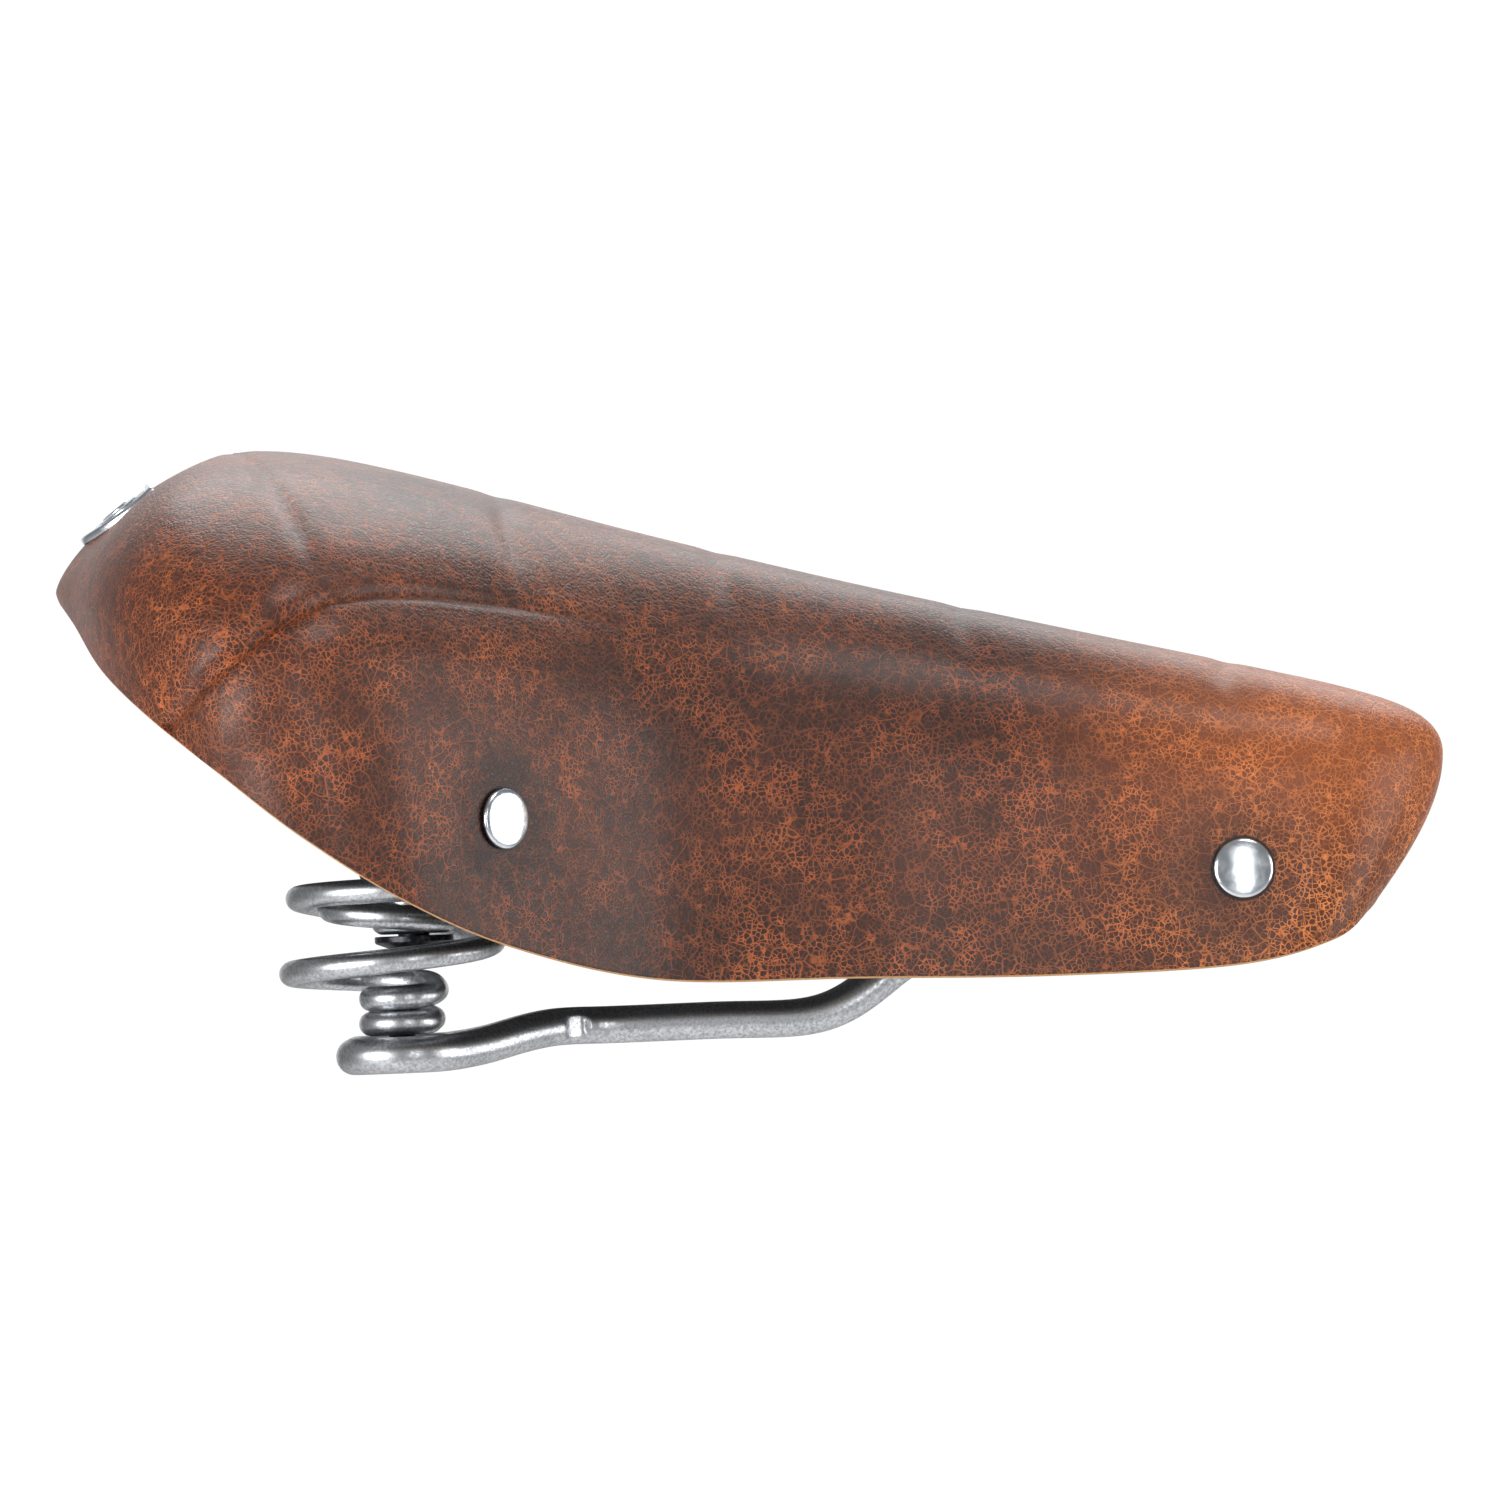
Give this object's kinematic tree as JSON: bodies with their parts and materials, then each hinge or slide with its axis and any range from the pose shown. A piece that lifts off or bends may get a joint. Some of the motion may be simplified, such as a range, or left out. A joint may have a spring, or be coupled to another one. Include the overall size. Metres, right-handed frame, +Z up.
{
  "type": "bicycle saddle",
  "caption": "Wide sprung comfort saddle: riveted brown leather cover over foam and a moulded base, coil springs at the rear on a bent steel rail wire.",
  "frame": {"origin": "midway between the two rails, at the middle of their straight clamping stretch, on the rail wire's centreline height", "axes": "+X to the nose along the level clamping stretch, +Y to the rider's left, +Z up"},
  "size_m": [0.2657, 0.2116, 0.1206],
  "materials": {
    "leather": "satin crackled brown leather",
    "foam": "open-cell moulded foam",
    "plastic": "moulded, fine matt grain",
    "steel": "satin galvanised",
    "dark_steel": "black zinc, semi-gloss",
    "chrome": "polished",
    "enamel": "gloss enamel with a plain pressed pattern"
  },
  "bodies": {
    "frame": {"rail_wire": "steel", "spring_left": "steel", "eye_cup_left": "steel", "lower_bolt_left": "dark_steel", "lower_nut_left": "steel", "spring_right": "steel", "eye_cup_right": "steel", "lower_bolt_right": "dark_steel", "lower_nut_right": "steel"},
    "seat": {"cover": "leather", "padding": "foam", "base_shell": "plastic", "badge_frame": "chrome", "badge_inlay": "enamel", "rivet_rear_left": "chrome", "rivet_washer_rear_left": "steel", "rivet_rear_right": "chrome", "rivet_washer_rear_right": "steel", "rivet_front_left": "chrome", "rivet_washer_front_left": "steel", "rivet_front_right": "chrome", "rivet_washer_front_right": "steel", "nose_block": "plastic", "nose_keeper": "steel", "nose_screw_1": "dark_steel", "nose_screw_2": "dark_steel", "upper_bolt_left": "dark_steel", "upper_seat_left": "steel", "upper_bolt_right": "dark_steel", "upper_seat_right": "steel"}
  },
  "joints": [
    {"name": "seat_rock", "type": "hinge", "parent": "frame", "child": "seat", "pos_m": [0.112, 0, 0.036], "axis": [0, -1, 0], "range_deg": [0, 1.4], "stiffness_Nm_per_rad": 2500, "springref_deg": -0.11, "deforming": ["spring_left", "spring_right"]}
  ]
}
